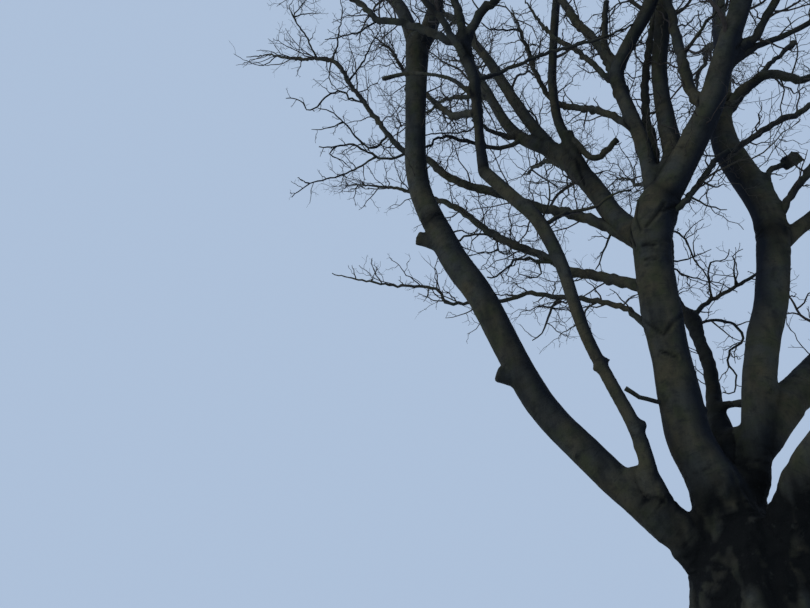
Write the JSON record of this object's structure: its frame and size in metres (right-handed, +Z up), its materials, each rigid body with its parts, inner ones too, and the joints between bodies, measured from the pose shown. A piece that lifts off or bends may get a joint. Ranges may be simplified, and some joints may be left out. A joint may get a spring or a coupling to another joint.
{
  "type": "bare winter tree",
  "caption": "Bare winter tree: short thick trunk forking low into long smooth boughs that bend and cross, with pruned stubs and a wide open crown of leafless twigs, cut flat at the ground.",
  "frame": {"origin": "middle of the flat cut under the trunk, on level ground", "axes": "+Z up the trunk, +Y away from the side seen in the picture, +X to the right of it"},
  "size_m": [9.3259, 8.5573, 11.996],
  "materials": {
    "bark": "smooth dark olive-brown living bark, matt, with fine horizontal wrinkles, pale lichen and green algae patches, darker in the crotches",
    "twigs": null
  },
  "bodies": {
    "root": {"trunk": "bark", "bough_left_lower": "bark", "bough_left_upper": "bark", "bough_left_prong_outer": "bark", "bough_left_prong_inner": "bark", "bough_front_left_lower": "bark", "bough_front_left_upper": "bark", "bough_pruned_left": "bark", "bough_centre": "bark", "bough_centre_left": "bark", "bough_centre_right": "bark", "bough_centre_back": "bark", "bough_left_rear": "bark", "bough_left_rear_outer": "bark", "bough_left_rear_inner": "bark", "bough_upright": "bark", "bough_right_lower": "bark", "bough_right_upper": "bark", "bough_right_outer": "bark", "bough_right_rear": "bark", "bough_right_front": "bark", "bough_right_low": "bark", "bough_rear": "bark", "twigs_left_far": "twigs", "twigs_left_middle": "twigs", "twigs_left_low": "twigs", "twigs_left_crossing": "twigs", "twigs_left_prong_outer": "twigs", "twigs_left_prong_inner": "twigs", "twigs_left_prong_side": "twigs", "twigs_front_left": "twigs", "twigs_front_crossing": "twigs", "twigs_front_left_outer": "twigs", "twigs_front_left_forward": "twigs", "twigs_rear_left_outer": "twigs", "twigs_rear_left_inner": "twigs", "twigs_rear_left_side": "twigs", "twigs_rear_left_low": "twigs", "twigs_centre_slender": "twigs", "twigs_centre_left": "twigs", "twigs_centre_wander": "twigs", "twigs_upright": "twigs", "twigs_front_top": "twigs", "twigs_front": "twigs", "twigs_crown_top": "twigs", "twigs_crown_right": "twigs", "twigs_front_right_top": "twigs", "twigs_centre_upright": "twigs", "twigs_right_crossing": "twigs", "twigs_right_inner": "twigs", "twigs_right_upright": "twigs", "twigs_rear_top": "twigs", "twigs_rear_high": "twigs", "twigs_right_outer": "twigs", "twigs_right_rear": "twigs", "twigs_right_front": "twigs", "twigs_right_front_side": "twigs", "twigs_right_low": "twigs", "twigs_rear": "twigs"}
  },
  "joints": []
}
